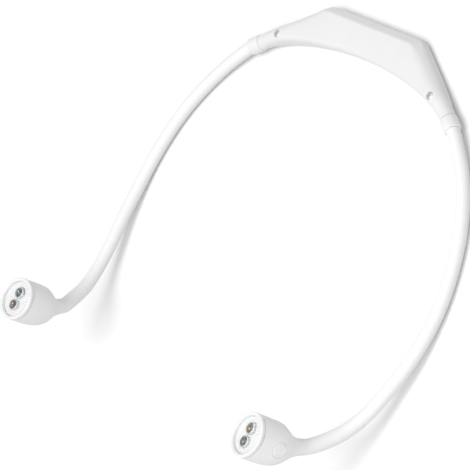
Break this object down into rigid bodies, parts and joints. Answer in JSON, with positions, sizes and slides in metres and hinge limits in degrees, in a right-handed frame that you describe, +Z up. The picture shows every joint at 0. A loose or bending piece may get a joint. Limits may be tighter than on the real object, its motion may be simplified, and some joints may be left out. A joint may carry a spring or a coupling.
{
  "type": "neck reading light",
  "caption": "Neck-worn reading light: a bow-shaped rear housing, silicone-covered bendable arms and bell-shaped lamp heads with cool and warm LEDs behind a clear lens.",
  "frame": {"origin": "middle of the rear housing's flat underside, midway between the two arms", "axes": "+Z up, toward the side that the lamp heads point to; -Y from the housing toward the lamp heads; X across from arm to arm, along the mirror plane's normal"},
  "size_m": [0.2242, 0.1912, 0.0584],
  "materials": {
    "housing_plastic": "satin",
    "collar_plastic": "satin",
    "silicone": "matte",
    "ring_plastic": "frosted",
    "clear_plastic": "clear",
    "inner_plastic": "matte",
    "screw_steel": "satin",
    "core_wire": "drawn",
    "board": "solder mask",
    "cell_pouch": "foil",
    "foam": "matte",
    "cable_skin": "matte",
    "cool_led": "clear over phosphor",
    "warm_led": "clear over phosphor"
  },
  "bodies": {
    "base": {"back_cover": "housing_plastic", "front_cover": "housing_plastic", "left_cover_screw": "screw_steel", "right_cover_screw": "screw_steel", "battery_cell": "cell_pouch", "battery_pad": "foam", "control_board": "board", "usb_socket": "screw_steel", "charge_light_pipe": "clear_plastic", "left_collar": "collar_plastic", "right_collar": "collar_plastic", "left_lead": "cable_skin", "right_lead": "cable_skin", "left_anchor_core": "core_wire", "right_anchor_core": "core_wire", "left_root_flex": "silicone", "right_root_flex": "silicone"},
    "left_near_arm": {"left_near_sleeve": "silicone", "left_near_core": "core_wire", "left_middle_flex": "silicone"},
    "left_far_arm": {"left_far_sleeve": "silicone", "left_far_core": "core_wire", "left_wrist_flex": "silicone"},
    "left_link": {"left_link_sleeve": "silicone", "left_link_core": "core_wire", "left_neck_flex": "silicone"},
    "left_head": {"left_head_core": "core_wire", "left_boot": "silicone", "left_lamp_body": "inner_plastic", "left_bezel_ring": "ring_plastic", "left_lens": "clear_plastic", "left_led_board": "board", "left_cool_led": "cool_led", "left_warm_led": "warm_led", "left_tact_switch": "inner_plastic"},
    "left_button": {"left_power_button": "silicone"},
    "right_near_arm": {"right_near_sleeve": "silicone", "right_near_core": "core_wire", "right_middle_flex": "silicone"},
    "right_far_arm": {"right_far_sleeve": "silicone", "right_far_core": "core_wire", "right_wrist_flex": "silicone"},
    "right_link": {"right_link_sleeve": "silicone", "right_link_core": "core_wire", "right_neck_flex": "silicone"},
    "right_head": {"right_head_core": "core_wire", "right_boot": "silicone", "right_lamp_body": "inner_plastic", "right_bezel_ring": "ring_plastic", "right_lens": "clear_plastic", "right_led_board": "board", "right_cool_led": "cool_led", "right_warm_led": "warm_led", "right_tact_switch": "inner_plastic"},
    "right_button": {"right_power_button": "silicone"}
  },
  "joints": [
    {"name": "right_root_spread", "type": "hinge", "parent": "base", "child": "right_near_arm", "pos_m": [0.0792, -0.02812, 0.00446], "axis": [0, 0, 1], "range_deg": [-12, 30], "deforming": ["right_root_flex"]},
    {"name": "right_middle_lift", "type": "hinge", "parent": "right_near_arm", "child": "right_far_arm", "pos_m": [0.10661, -0.07862, 0.0032], "axis": [-0.9778, -0.2094, 0], "range_deg": [-20, 45], "deforming": ["right_middle_flex"]},
    {"name": "right_wrist_pitch", "type": "hinge", "parent": "right_far_arm", "child": "right_link", "pos_m": [0.10314, -0.1457, 0.0107], "axis": [-1, 0, 0], "range_deg": [-35, 35], "deforming": ["right_wrist_flex"]},
    {"name": "right_neck_yaw", "type": "hinge", "parent": "right_link", "child": "right_head", "pos_m": [0.09702, -0.16433, 0.02219], "axis": [0, 1, 0], "range_deg": [-40, 40], "deforming": ["right_neck_flex"]},
    {"name": "right_power_press", "type": "slide", "parent": "right_head", "child": "right_button", "axis": [-0.996, -0.0036, -0.0888], "range_m": [0, 0.0005], "stiffness_N_per_m": 900},
    {"name": "left_root_spread", "type": "hinge", "parent": "base", "child": "left_near_arm", "pos_m": [-0.0792, -0.02812, 0.00446], "axis": [0, 0, -1], "range_deg": [-12, 30], "deforming": ["left_root_flex"]},
    {"name": "left_middle_lift", "type": "hinge", "parent": "left_near_arm", "child": "left_far_arm", "pos_m": [-0.10661, -0.07862, 0.0032], "axis": [-0.9778, 0.2094, 0], "range_deg": [-20, 45], "deforming": ["left_middle_flex"]},
    {"name": "left_wrist_pitch", "type": "hinge", "parent": "left_far_arm", "child": "left_link", "pos_m": [-0.10314, -0.1457, 0.0107], "axis": [-1, 0, 0], "range_deg": [-35, 35], "deforming": ["left_wrist_flex"]},
    {"name": "left_neck_yaw", "type": "hinge", "parent": "left_link", "child": "left_head", "pos_m": [-0.09702, -0.16433, 0.02219], "axis": [0, -1, 0], "range_deg": [-40, 40], "deforming": ["left_neck_flex"]},
    {"name": "left_power_press", "type": "slide", "parent": "left_head", "child": "left_button", "axis": [0.996, -0.0036, -0.0888], "range_m": [0, 0.0005], "stiffness_N_per_m": 900}
  ]
}
